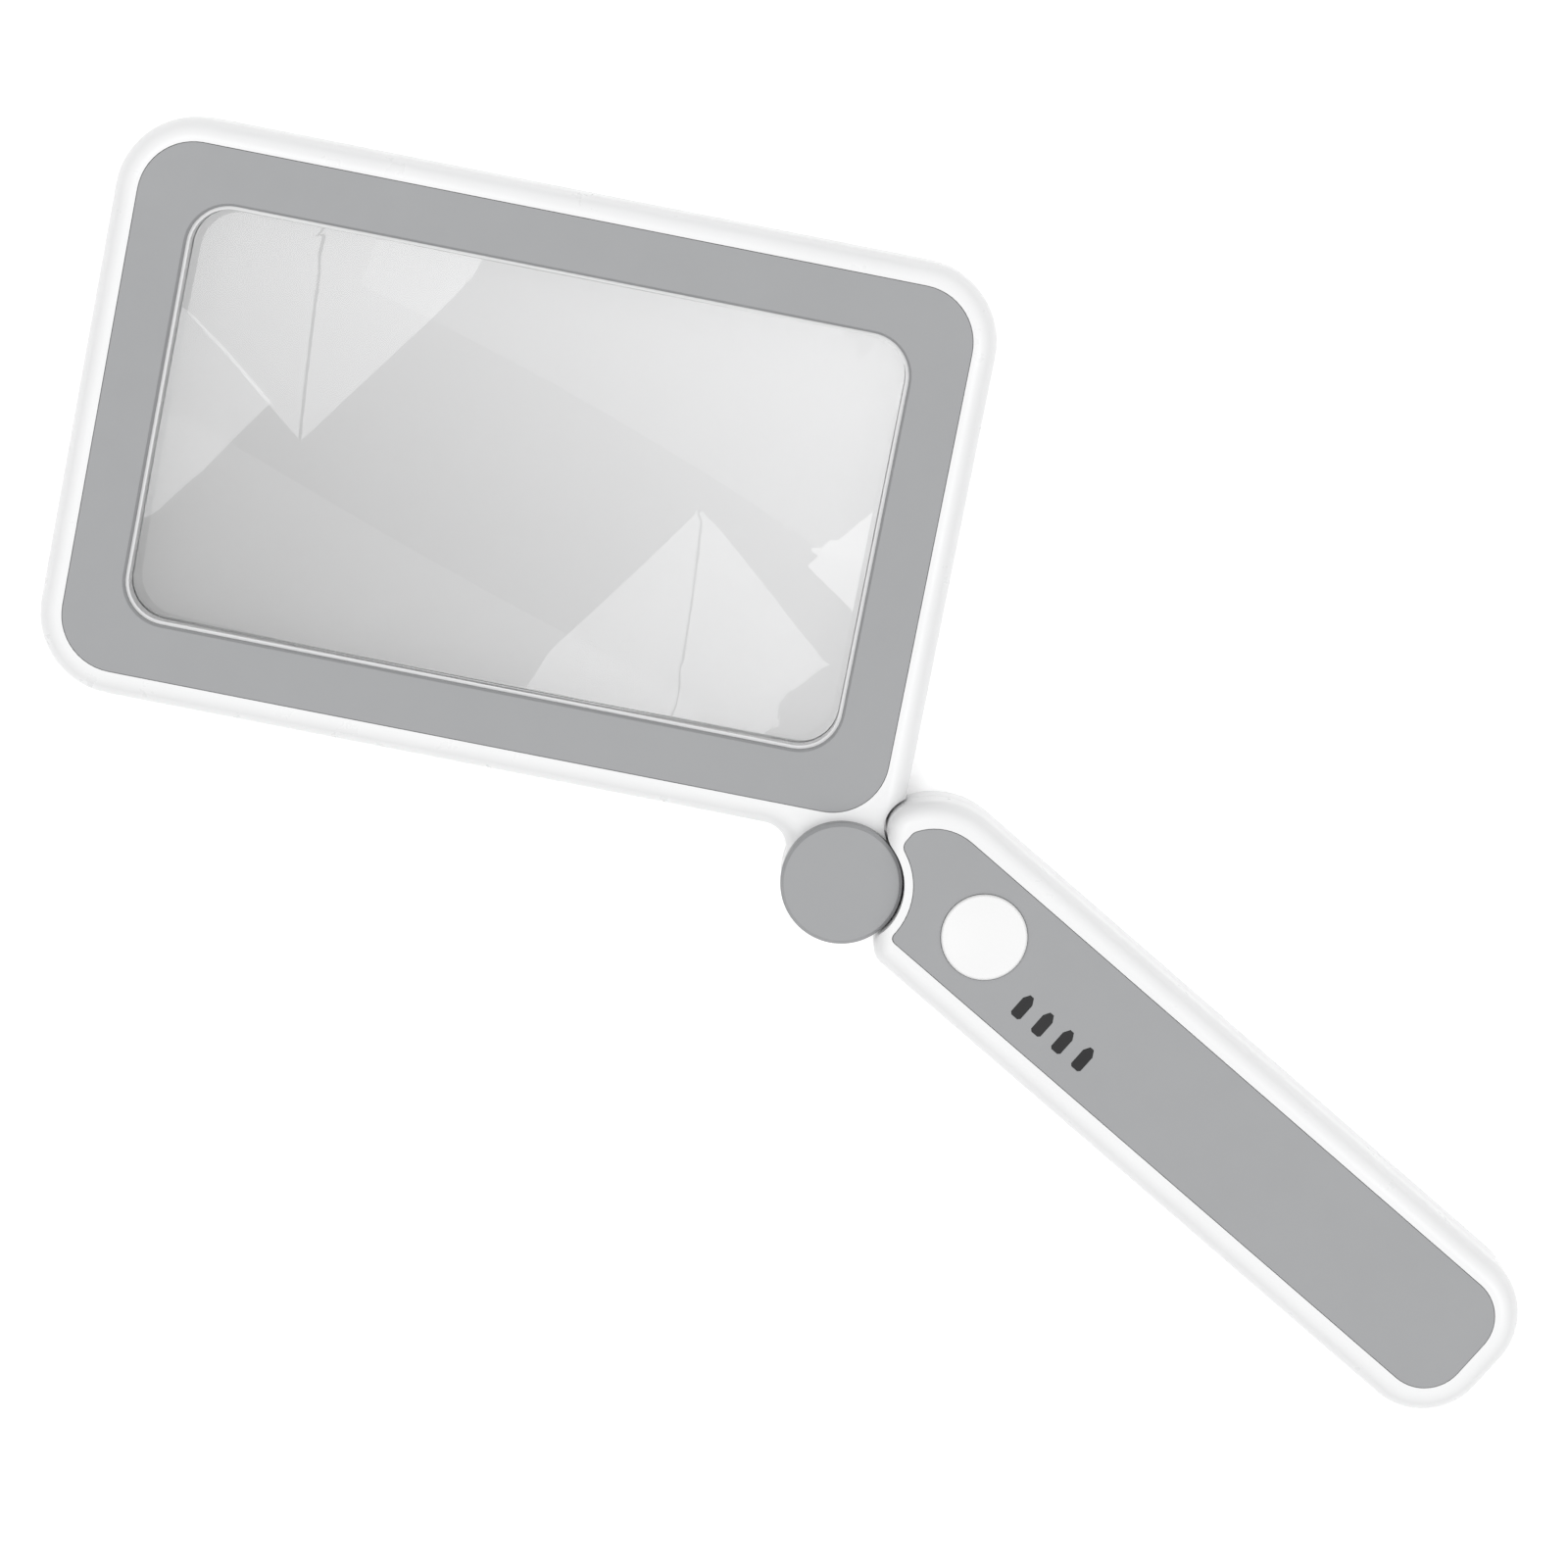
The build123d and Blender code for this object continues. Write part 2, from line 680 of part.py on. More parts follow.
handle_screw_places = [
    (8.4, 14.4),
    (14.2, -0.2),
    (55.2, 17.0),
    (55.2, -0.4),
    (112.2, 16.9),
    (112.2, -0.3),
]
handle_screw_low = 1.4      # depth of the screw heads below the rear face
handle_boss = 2.3
handle_boss_split = 6.4
handle_pillar = 2.9
pillar_low = 0.6
board_screw_places = [(28.8, 14.6), (49.4, 14.6), (49.4, 1.2)]
board_screw_shank = 0.8
board_screw_head = (1.5, 0.8)
board_screw_length = 3.8
board_post = 1.8
panel_bed = 1.4             # thickness of the shell under the panel
shell_roof = panel_floor - panel_bed
button_fit = 0.06           # radial gap round the button in the panel
shell_hole_gap = 0.3        # radial gap round the button in the shell under the panel
indicator_first = 32.75
indicator_pitch = 4.03
indicator_x = [indicator_first + i * indicator_pitch for i in range(4)]
indicator_y = 4.2
indicator_gap = 0.1         # round the windows in the shell under the panel
indicator_size = (1.8, 4.0)
indicator_point = 1.0       # length of the slanted shoulders at the pointed end
indicator_cut = 0.35        # corner cut at the flat end, and half the width of the tip

panel_inset = 3.85          # bare white rim round the handle's panel
panel_notch_radius = 10.8
panel_tip_round = 1.5
panel_heel_round = 1.0


def indicator_sketch(gap=0.0):
    """Four small pointed windows in a row, each across the handle."""
    half_width = indicator_size[0] / 2 + gap
    half_length = indicator_size[1] / 2 + gap
    with BuildSketch() as windows:
        with Locations([(x, indicator_y) for x in indicator_x]):
            Polygon(
                (-half_width + indicator_cut, -half_length),
                (half_width - indicator_cut, -half_length),
                (half_width, -half_length + indicator_cut),
                (half_width, half_length - indicator_point),
                (indicator_cut, half_length),
                (-indicator_cut, half_length),
                (-half_width, half_length - indicator_point),
                (-half_width, -half_length + indicator_cut),
                align=None,
            )
    return windows.sketch


def panel_outline(gap):
    """Outline of the handle's gray panel, which follows the notch round the hinge."""
    inset = panel_inset + gap
    join = polar(lobe_radius - inset, join_angle)
    join_point = (lobe_centre[0] + join[0], lobe_centre[1] + join[1])
    with BuildSketch() as outline:
        with BuildLine():
            handle_far_side(0, inset)
            Line(join_point, (join_point[0], 0))
            Line((join_point[0], 0), (0, 0))
            Line((0, 0), (0, handle_low + inset))
        make_face()
        Circle(panel_notch_radius + gap, mode=Mode.SUBTRACT)
        tip_corners = outline.vertices().group_by(Axis.X)[0]
        fillet(tip_corners, panel_tip_round)
        heel = outline.vertices().group_by(Axis.Y)[0].sort_by(Axis.X)[0]
        fillet(heel, panel_heel_round)
    return outline.sketch


# ---------------------------------------------------------------- handle's front shell
handle_round = 3.0

with BuildPart() as handle_front_shell:
    with BuildSketch(handle_plane.offset(handle_split)):
        add(handle_hull)
    extrude(amount=handle_thickness - handle_split)
    fillet(handle_front_shell.faces().sort_by(Axis.Z)[-1].edges(), handle_round)
    chamfer(handle_front_shell.faces().sort_by(Axis.Z)[0].edges(), seam_bevel)
    with BuildSketch(handle_plane.offset(handle_split)):
        add(handle_notched)
    extrude(amount=handle_thickness, mode=Mode.INTERSECT)
    with BuildSketch(handle_plane.offset(panel_floor)):
        add(panel_outline(0))
    extrude(amount=panel_thickness, mode=Mode.SUBTRACT)
    with BuildSketch(handle_plane.offset(handle_split)):
        add(handle_cavity)
    extrude(amount=shell_roof - handle_split, mode=Mode.SUBTRACT)
    # bosses for the long screws and posts for the main board
    with BuildSketch(handle_plane.offset(handle_boss_split + shell_gap)):
        with Locations(handle_screw_places):
            Circle(handle_boss)
    extrude(amount=shell_roof - handle_boss_split - shell_gap)
    with BuildSketch(handle_plane.offset(main_board_z[1])):
        with Locations(board_screw_places):
            Circle(board_post)
    extrude(amount=shell_roof - main_board_z[1])
    with BuildSketch(handle_plane.offset(handle_boss_split)):
        with Locations(handle_screw_places):
            Circle(screw_shank + pilot_gap)
        with Locations(board_screw_places):
            Circle(board_screw_shank + pilot_gap)
    extrude(amount=shell_roof - handle_boss_split, mode=Mode.SUBTRACT)
    # button and indicator openings, and the upper half of the charging socket's mouth
    with BuildSketch(handle_plane.offset(shell_roof)):
        with Locations(button_centre):
            Circle(button_radius + shell_hole_gap)
        add(indicator_sketch(indicator_gap))
    extrude(amount=handle_thickness, mode=Mode.SUBTRACT)
    with BuildSketch(socket_plane):
        RectangleRounded(
            socket_width + 2 * socket_gap, socket_height + 2 * socket_gap, socket_height / 2
        )
    extrude(amount=handle_end - socket_x[0] + overcut, mode=Mode.SUBTRACT)
    # the notch's wall is a clear cylinder about the hinge
    with BuildSketch(handle_plane.offset(handle_boss_split)):
        Circle(notch_radius)
    extrude(amount=handle_thickness, mode=Mode.SUBTRACT)
save(handle_front_shell, "handle_front_shell")

with BuildPart() as handle_panel:
    with BuildSketch(handle_plane.offset(panel_floor)):
        add(panel_outline(trim_gap))
        with Locations(button_centre):
            Circle(button_radius + button_fit, mode=Mode.SUBTRACT)
        add(indicator_sketch(pilot_gap), mode=Mode.SUBTRACT)
    extrude(amount=panel_thickness)
save(handle_panel, "handle_panel")

# ---------------------------------------------------------------- handle's rear shell
neck_low_angle = -8.0
neck_high_angle = 76.0
neck_reach = 12.0
passage_reach = 13.2
passage_size = (2.6, 1.2)
entry_angle = 30.0          # direction of the leads' passage, in the handle's plane
hinge_entry = handle_plane.offset(lead_level).rotated((0, 0, entry_angle))

with BuildPart() as handle_rear_shell:
    with BuildSketch(handle_plane):
        add(handle_hull)
    extrude(amount=handle_split)
    fillet(handle_rear_shell.faces().sort_by(Axis.Z)[0].edges(), handle_round)
    chamfer(handle_rear_shell.faces().sort_by(Axis.Z)[-1].edges(), seam_bevel)
    with BuildSketch(handle_plane):
        add(handle_notched)
    extrude(amount=handle_split, mode=Mode.INTERSECT)
    with BuildSketch(handle_plane.offset(handle_floor)):
        add(handle_cavity)
    extrude(amount=handle_split, mode=Mode.SUBTRACT)
    # screw pillars, and ribs at the battery's ends
    with BuildSketch(handle_plane.offset(pillar_low)):
        with Locations(handle_screw_places):
            Circle(handle_pillar)
    extrude(amount=handle_boss_split - pillar_low)
    with BuildSketch(handle_plane.offset(handle_floor)):
        with Locations([(x, mid_y) for x in (battery_x[0] - rib_gap, battery_x[1] + rib_gap)]):
            Rectangle(rib_thickness, battery_width)
    extrude(amount=rib_height)
    with BuildSketch(handle_plane):
        with Locations(handle_screw_places):
            Circle(screw_head + screw_head_gap)
    extrude(amount=handle_screw_low + screw_head_height, mode=Mode.SUBTRACT)
    with BuildSketch(handle_plane):
        with Locations(handle_screw_places):
            Circle(screw_shank + screw_shank_gap)
    extrude(amount=handle_split, mode=Mode.SUBTRACT)
    # lug under the head's lug, and the neck that carries it
    with BuildSketch(handle_plane):
        Circle(lug_radius)
        with BuildLine():
            Polyline(
                (0, 0),
                polar(neck_reach, neck_low_angle),
                polar(neck_reach, (neck_low_angle + neck_high_angle) / 2),
                polar(neck_reach, neck_high_angle),
                close=True,
            )
        make_face()
    extrude(amount=lug_gap_low)
    with BuildSketch(handle_plane):
        Circle(cap_seat_radius)
    extrude(amount=rear_cap_thickness, mode=Mode.SUBTRACT)
    with BuildSketch(handle_plane):
        Circle(well_radius)
    extrude(amount=lug_floor_low, mode=Mode.SUBTRACT)
    with BuildSketch(handle_plane):
        Circle(bush_radius + press_fit)
    extrude(amount=lug_gap_low, mode=Mode.SUBTRACT)
    # passage for the two leads into the hinge
    with BuildSketch(Plane(origin=hinge_entry.origin, x_dir=hinge_entry.y_dir, z_dir=hinge_entry.x_dir)):
        SlotOverall(*passage_size)
    extrude(amount=passage_reach, mode=Mode.SUBTRACT)
    with BuildSketch(socket_plane):
        RectangleRounded(
            socket_width + 2 * socket_gap, socket_height + 2 * socket_gap, socket_height / 2
        )
    extrude(amount=handle_end - socket_x[0] + overcut, mode=Mode.SUBTRACT)
save(handle_rear_shell, "handle_rear_shell")

# ---------------------------------------------------------------- button and its switch
button_proud = 0.6
button_flange = 7.6
button_flange_thickness = 0.7
button_skirt = 1.2          # wall of the hollow button
button_roof = 1.6
button_round = 0.5
dish_depth = 0.3            # hollow of the button's face, inside a flat ring
dish_reach = 5.6
dish_radius = (dish_reach**2 + dish_depth**2) / (2 * dish_depth)
button_rest_gap = 0.08      # from the button's flange to the shell above it
stem_radius = 1.6
stem_gap = 0.02
stem_root = 0.8             # from the panel's face down to the stem's root
switch_size = 6.0
switch_corner = 0.4
switch_height = 1.8
switch_floor = 0.4
plunger_radius = 1.7
plunger_length = 1.7
plunger_proud = 0.8
plunger_bevel = 0.2
plunger_top = main_board_z[1] + switch_height + plunger_proud
button_low = shell_roof - button_rest_gap - button_flange_thickness
button_top = handle_thickness + button_proud

with BuildPart() as power_button:
    with BuildSketch(handle_plane.offset(button_low)):
        with Locations(button_centre):
            Circle(button_radius)
    extrude(amount=button_top - button_low)
    fillet(power_button.faces().sort_by(Axis.Z)[-1].edges(), button_round)
    with BuildSketch(handle_plane.offset(button_low)):
        with Locations(button_centre):
            Circle(button_flange)
    extrude(amount=button_flange_thickness)
    with BuildSketch(handle_plane.offset(button_low)):
        with Locations(button_centre):
            Circle(button_radius - button_skirt)
    extrude(amount=button_top - button_roof - button_low, mode=Mode.SUBTRACT)
    with BuildSketch(handle_plane.offset(plunger_top + stem_gap)):
        with Locations(button_centre):
            Circle(stem_radius)
    extrude(amount=handle_thickness - stem_root - plunger_top)
    with Locations(handle_plane.from_local_coords((*button_centre, button_top - dish_depth + dish_radius))):
        Sphere(dish_radius, mode=Mode.SUBTRACT)
save(power_button, "power_button")

with BuildPart() as switch_body:
    with BuildSketch(handle_plane.offset(main_board_z[1])):
        with Locations(button_centre):
            RectangleRounded(switch_size, switch_size, switch_corner)
    extrude(amount=switch_height)
    with BuildSketch(handle_plane.offset(main_board_z[1] + switch_floor)):
        with Locations(button_centre):
            Circle(plunger_radius + running_fit)
    extrude(amount=switch_height, mode=Mode.SUBTRACT)
save(switch_body, "switch_body")

with BuildPart() as switch_plunger:
    with BuildSketch(handle_plane.offset(plunger_top)):
        with Locations(button_centre):
            Circle(plunger_radius)
    extrude(amount=-plunger_length)
    chamfer(switch_plunger.faces().sort_by(Axis.Z)[-1].edges(), plunger_bevel)
save(switch_plunger, "switch_plunger")

# ---------------------------------------------------------------- indicators
indicator_led = (0.8, 1.6, 0.7)
window_low = main_board_z[1] + 1.6

with BuildPart() as indicator_windows:
    with BuildSketch(handle_plane.offset(window_low)):
        add(indicator_sketch())
    extrude(amount=handle_thickness - window_low)
save(indicator_windows, "indicator_windows")

with BuildPart() as indicator_leds:
    with BuildSketch(handle_plane.offset(main_board_z[1])):
        with Locations([(x, indicator_y) for x in indicator_x]):
            Rectangle(indicator_led[0], indicator_led[1])
    extrude(amount=indicator_led[2])
save(indicator_leds, "indicator_leds")

# ---------------------------------------------------------------- circuit boards
main_board_corner = 0.8
board_hole_radius = 0.95
board_mid = ((main_board_x[0] + main_board_x[1]) / 2, (main_board_y[0] + main_board_y[1]) / 2)

with BuildPart() as main_board:
    with BuildSketch(handle_plane.offset(main_board_z[0])):
        with Locations(board_mid):
            RectangleRounded(
                main_board_x[1] - main_board_x[0],
                main_board_y[1] - main_board_y[0],
                main_board_corner,
            )
        with Locations(board_screw_places):
            Circle(board_hole_radius, mode=Mode.SUBTRACT)
    extrude(amount=main_board_z[1] - main_board_z[0])
save(main_board, "main_board")

with BuildPart() as board_screws:
    with BuildSketch(handle_plane.offset(main_board_z[0])):
        with Locations(board_screw_places):
            Circle(board_screw_head[0])
    extrude(amount=-board_screw_head[1])
    with BuildSketch(handle_plane.offset(main_board_z[0])):
        with Locations(board_screw_places):
            Circle(board_screw_shank)
    extrude(amount=board_screw_length)
save(board_screws, "board_screws")

chip_size = (5.0, 6.2, 1.5)
chip_centre = (37.5, 8.0)
with BuildPart() as control_chip:
    with BuildSketch(handle_plane.offset(main_board_z[0])):
        with Locations(chip_centre):
            Rectangle(chip_size[0], chip_size[1])
    extrude(amount=-chip_size[2])
save(control_chip, "control_chip")

capacitor_size = (2.0, 1.25)
capacitor_centre = (30.5, 4.5)
capacitor_pitch = 2.6
resistor_size = (1.6, 0.8)
resistor_centre = (44.5, 8.0)
resistor_pitch = 3.2
small_part_height = 0.8
coil_size = (4.0, 4.0, 2.4)
coil_centre = (23.4, 11.8)
with BuildPart() as board_components:
    with BuildSketch(handle_plane.offset(main_board_z[0])):
        with Locations(capacitor_centre):
            with GridLocations(0, capacitor_pitch, 1, 3):
                Rectangle(*capacitor_size)
        with Locations(resistor_centre):
            with GridLocations(resistor_pitch, resistor_pitch, 2, 3):
                Rectangle(*resistor_size)
    extrude(amount=-small_part_height)
    with BuildSketch(handle_plane.offset(main_board_z[0])):
        with Locations(coil_centre):
            Rectangle(coil_size[0], coil_size[1])
    extrude(amount=-coil_size[2])
save(board_components, "board_components")

connector_centre = (49.0, 8.0)
connector_size = (4.2, 6.0, 3.6)
connector_mouth = (2.2, 4.4, 2.4)
connector_sill = 0.6        # thickness left under the connector's mouth
with BuildPart() as battery_connector:
    with BuildSketch(handle_plane.offset(main_board_z[0])):
        with Locations(connector_centre):
            Rectangle(connector_size[0], connector_size[1])
    extrude(amount=-connector_size[2])
    with BuildSketch(handle_plane.offset(main_board_z[0] - connector_size[2] + connector_sill)):
        with Locations((connector_centre[0] + connector_mouth[0] / 2, connector_centre[1])):
            Rectangle(connector_mouth[0], connector_mouth[1])
    extrude(amount=connector_mouth[2], mode=Mode.SUBTRACT)
save(battery_connector, "battery_connector")

charge_board_width = 11.0
with BuildPart() as charge_board:
    with BuildSketch(handle_plane.offset(charge_board_z[0])):
        with Locations(((charge_board_x[0] + charge_board_x[1]) / 2, mid_y)):
            Rectangle(charge_board_x[1] - charge_board_x[0], charge_board_width)
    extrude(amount=charge_board_z[1] - charge_board_z[0])
save(charge_board, "charge_board")

tongue_size = (6.2, 0.7)
socket_back = 1.2           # thickness of the socket's closed end
tongue_setback = 1.0        # from the socket's mouth to the tongue's tip
socket_corner_ease = 0.05
with BuildPart() as charge_socket:
    with BuildSketch(socket_plane):
        RectangleRounded(socket_width, socket_height, socket_height / 2 - socket_corner_ease)
    extrude(amount=socket_x[1] - socket_x[0])
    with BuildSketch(socket_plane.offset(socket_back)):
        RectangleRounded(
            socket_width - 2 * socket_shell,
            socket_height - 2 * socket_shell,
            socket_height / 2 - socket_shell - socket_corner_ease,
        )
    extrude(amount=socket_x[1] - socket_x[0], mode=Mode.SUBTRACT)
    with BuildSketch(socket_plane):
        Rectangle(*tongue_size)
    extrude(amount=socket_x[1] - socket_x[0] - tongue_setback)
save(charge_socket, "charge_socket")

# ---------------------------------------------------------------- battery
battery_centre = ((battery_x[0] + battery_x[1]) / 2, mid_y)
battery_corner = 1.6
battery_round = 1.2
battery_pad_size = (38.0, 14.0)

with BuildPart() as battery_cell:
    with BuildSketch(handle_plane.offset(battery_z[0])):
        with Locations(battery_centre):
            RectangleRounded(battery_x[1] - battery_x[0], battery_width, battery_corner)
    extrude(amount=battery_z[1] - battery_z[0])
    fillet(battery_cell.faces().sort_by(Axis.Z)[-1].edges(), battery_round)
save(battery_cell, "battery_cell")

with BuildPart() as battery_pad:
    with BuildSketch(handle_plane.offset(handle_floor)):
        with Locations(battery_centre):
            Rectangle(*battery_pad_size)
    extrude(amount=battery_z[0] - handle_floor)
save(battery_pad, "battery_pad")


# ---------------------------------------------------------------- leads in the handle
small_bend = 1.2
board_bend = 1.6
entry_bend = 3.5
over_cell_bend = (8.0, 4.0)


def handle_lead(points, radii):
    """Lead whose route is given in the handle's plane."""
    return lead([handle_plane.from_local_coords(point) for point in points], radii)


def hinge_lead(side):
    """From the main board's underside into the hinge pin's bore."""
    ux, uy = polar(1, entry_angle)
    dx, dy = -uy * side * lead_side, ux * side * lead_side
    board_y = 7.0 + side * 0.8
    return handle_lead(
        [
            (19.6, board_y, main_board_z[0] - lead_diameter / 2),
            (17.4, board_y, 6.8),
            (13.6 * ux + dx, 13.6 * uy + dy, lead_level + 0.2),
            (dx, dy, lead_level),
            (dx, dy, lead_meet),
        ],
        [hinge_bend, entry_bend, hinge_bend],
    )


hinge_lead_red = hinge_lead(1)
save(hinge_lead_red, "hinge_lead_red")
hinge_lead_black = hinge_lead(-1)
save(hinge_lead_black, "hinge_lead_black")


def battery_lead(side):
    """From the cell's end round to the plug on the main board."""
    y = connector_centre[1] + side * 1.0
    plug_z = main_board_z[0] - 1.8
    return handle_lead(
        [
            (battery_x[0], y + side * 2.5, 6.0),
            (battery_x[0] - 2.4, y + side * 2.5, 6.0),
            (main_board_x[1] + 1.4, y, plug_z),
            (connector_centre[0] + 0.2, y, plug_z),
        ],
        [small_bend, board_bend],
    )


battery_lead_red = battery_lead(1)
save(battery_lead_red, "battery_lead_red")
battery_lead_black = battery_lead(-1)
save(battery_lead_black, "battery_lead_black")


def charge_lead(side):
    """From the charging board, over the cell, to the main board's top."""
    y = mid_y + side * 1.2
    over_cell = battery_z[1] + lead_diameter / 2 + 0.3
    return handle_lead(
        [
            (charge_board_x[0] + 4.0, y, charge_board_z[1] + lead_diameter / 2),
            (charge_board_x[0] + 2.0, y, charge_board_z[1] + lead_diameter / 2),
            (battery_x[1] + 1.2, y, over_cell + 0.7),
            (battery_x[0] + 0.5, y, over_cell + 0.3),
            (main_board_x[1] - 0.6, y, main_board_z[1] + lead_diameter / 2),
            (main_board_x[1] - 3.4, y, main_board_z[1] + lead_diameter / 2),
        ],
        [small_bend, small_bend, *over_cell_bend],
    )


charge_lead_red = charge_lead(1)
save(charge_lead_red, "charge_lead_red")
charge_lead_black = charge_lead(-1)
save(charge_lead_black, "charge_lead_black")

# ---------------------------------------------------------------- long screws
handle_screw_length = 9.0
handle_screw_seat = handle_screw_low + screw_head_height - axial_play
handle_screws = screw_group(
    handle_plane, handle_screw_places, handle_screw_seat, handle_screw_length, 1
)
save(handle_screws, "handle_screws")
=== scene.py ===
import json
from math import cos, pi, radians, sin

import bpy
from mathutils import Matrix, Vector


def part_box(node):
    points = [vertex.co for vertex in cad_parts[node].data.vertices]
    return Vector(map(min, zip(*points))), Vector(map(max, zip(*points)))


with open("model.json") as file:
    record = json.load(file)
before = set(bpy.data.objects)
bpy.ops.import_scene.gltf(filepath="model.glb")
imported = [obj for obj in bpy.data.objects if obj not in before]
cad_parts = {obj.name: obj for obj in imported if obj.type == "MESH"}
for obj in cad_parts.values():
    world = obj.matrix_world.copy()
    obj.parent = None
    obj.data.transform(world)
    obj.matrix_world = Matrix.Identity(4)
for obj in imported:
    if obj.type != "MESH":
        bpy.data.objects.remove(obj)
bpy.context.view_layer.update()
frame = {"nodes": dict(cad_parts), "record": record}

MM = 0.001


# ---------------------------------------------------------------- node helpers
class Graph:
    """A material's node tree with a Principled shader, built a node at a time."""

    def __init__(self, name):
        self.material = bpy.data.materials.new(name)
        self.material.use_nodes = True
        self.tree = self.material.node_tree
        self.tree.nodes.clear()
        self.output = self.tree.nodes.new("ShaderNodeOutputMaterial")
        self.shader = self.tree.nodes.new("ShaderNodeBsdfPrincipled")
        self.tree.links.new(self.shader.outputs["BSDF"], self.output.inputs["Surface"])
        self.place = self.node("ShaderNodeTexCoord").outputs["Object"]

    def node(self, kind, **inputs):
        """A node with its input sockets set, or linked where a socket is given."""
        made = self.tree.nodes.new(kind)
        for key, value in inputs.items():
            socket = made.inputs[key.replace("_", " ")]
            self.feed(socket, value)
        return made

    def feed(self, socket, value):
        """Link a socket to another one, or set its value."""
        if isinstance(value, bpy.types.NodeSocket):
            self.tree.links.new(value, socket)
        else:
            socket.default_value = value

    def noise(self, size, detail=2.0, roughness=0.5, place=None):
        """Noise whose lumps are about size metres across."""
        made = self.node(
            "ShaderNodeTexNoise",
            Vector=place or self.place,
            Scale=1.0 / size,
            Detail=detail,
            Roughness=roughness,
        )
        return made.outputs["Fac"]

    def spread(self, value, low, high, new_low, new_high):
        """Map a value's range onto another one."""
        made = self.node("ShaderNodeMapRange", Value=value)
        made.inputs["From Min"].default_value = low
        made.inputs["From Max"].default_value = high
        made.inputs["To Min"].default_value = new_low
        made.inputs["To Max"].default_value = new_high
        return made.outputs["Result"]

    def blend(self, factor, first, second):
        """Mix two colours."""
        made = self.tree.nodes.new("ShaderNodeMix")
        made.data_type = "RGBA"
        self.feed(made.inputs["Factor"], factor)
        self.feed(made.inputs["A"], first)
        self.feed(made.inputs["B"], second)
        return made.outputs["Result"]

    def bump(self, height, distance, strength=1.0, normal=None):
        """Small relief, distance metres high."""
        made = self.node("ShaderNodeBump", Height=height, Distance=distance, Strength=strength)
        if normal is not None:
            self.feed(made.inputs["Normal"], normal)
        return made.outputs["Normal"]

    def soft_edges(self, radius):
        """Normals that round a sharp edge over a small radius."""
        made = self.node("ShaderNodeBevel", Radius=radius)
        made.samples = 4
        return made.outputs["Normal"]

    def set(self, **values):
        """Set or link sockets of the shader; an underscore stands for a space."""
        for key, value in values.items():
            self.feed(self.shader.inputs[key.replace("_", " ")], value)
        return self.material


def grey(value, alpha=1.0):
    """Neutral colour."""
    return (value, value, value, alpha)


def tint(colour, factor):
    """Colour made lighter or darker."""
    return tuple(min(1.0, channel * factor) for channel in colour[:3]) + (1.0,)


# ---------------------------------------------------------------- materials
GLOSS_LUMPS = 18 * MM               # slow change of shade over a moulding
SMUDGE_LUMPS = 5 * MM               # handling marks
MOULDED_EDGE = 0.12 * MM            # rounding of a moulded edge
METAL_EDGE = 0.08 * MM
LENS_RIPPLE = 24 * MM
LENS_WIPES = 3 * MM
TRACK_PITCH = 3.2 * MM              # copper tracks under solder mask
FOAM_CELL = 0.4 * MM


def moulded_plastic(name, colour, roughness, grain, relief, sheen_coat=0.0, ior=1.53):
    """Injection-moulded plastic: fine tool grain, slow changes of gloss, faint handling marks."""
    g = Graph(name)
    fine = g.noise(grain, detail=3.0, roughness=0.6)
    slow = g.noise(GLOSS_LUMPS, detail=2.0)
    smudge = g.noise(SMUDGE_LUMPS, detail=4.0, roughness=0.65)
    shade = g.blend(g.spread(slow, 0.35, 0.65, 0.0, 1.0), tint(colour, 0.985), tint(colour, 1.012))
    speck = g.blend(g.spread(fine, 0.3, 0.7, 0.0, 1.0), tint(colour, 0.985), tint(colour, 1.01))
    return g.set(
        Base_Color=g.blend(0.5, shade, speck),
        Roughness=g.spread(smudge, 0.3, 0.75, roughness - 0.035, roughness + 0.06),
        Normal=g.bump(fine, relief, 0.8, g.soft_edges(MOULDED_EDGE)),
        Coat_Weight=sheen_coat,
        Coat_Roughness=0.18,
        IOR=ior,
    )


def clear_lens():
    """Polished acrylic with the faintest moulding ripple and a few hairline wipes."""
    g = Graph("lens_acrylic")
    ripple = g.noise(LENS_RIPPLE, detail=1.0)
    wipe = g.noise(LENS_WIPES, detail=5.0, roughness=0.7)
    return g.set(
        Base_Color=(0.97, 0.972, 0.975, 1.0),
        Roughness=g.spread(wipe, 0.4, 0.8, 0.0, 0.03),
        Normal=g.bump(ripple, 0.004 * MM, 0.5),
        Transmission_Weight=1.0,
        IOR=1.49,
    )


def frosted(name, colour, roughness):
    """Milky diffuser plastic."""
    g = Graph(name)
    fine = g.noise(0.25 * MM, detail=2.0)
    return g.set(
        Base_Color=g.blend(fine, tint(colour, 0.98), tint(colour, 1.0)),
        Roughness=g.spread(fine, 0.3, 0.7, roughness - 0.05, roughness + 0.05),
        Normal=g.bump(fine, 0.02 * MM, 0.6),
        Transmission_Weight=0.35,
        IOR=1.58,
    )


def metal(name, colour, roughness, scratch=0.05 * MM):
    """Plated or turned metal with fine random scratches."""
    g = Graph(name)
    stretched = g.node("ShaderNodeMapping", Vector=g.place)
    stretched.inputs["Scale"].default_value = (1.0, 0.15, 1.0)
    lines = g.noise(scratch, detail=3.0, place=stretched.outputs["Vector"])
    stain = g.noise(2 * MM, detail=3.0)
    return g.set(
        Base_Color=g.blend(stain, tint(colour, 0.9), tint(colour, 1.05)),
        Roughness=g.spread(lines, 0.3, 0.7, roughness - 0.08, roughness + 0.1),
        Normal=g.bump(lines, 0.004 * MM, 0.7, g.soft_edges(METAL_EDGE)),
        Metallic=1.0,
    )


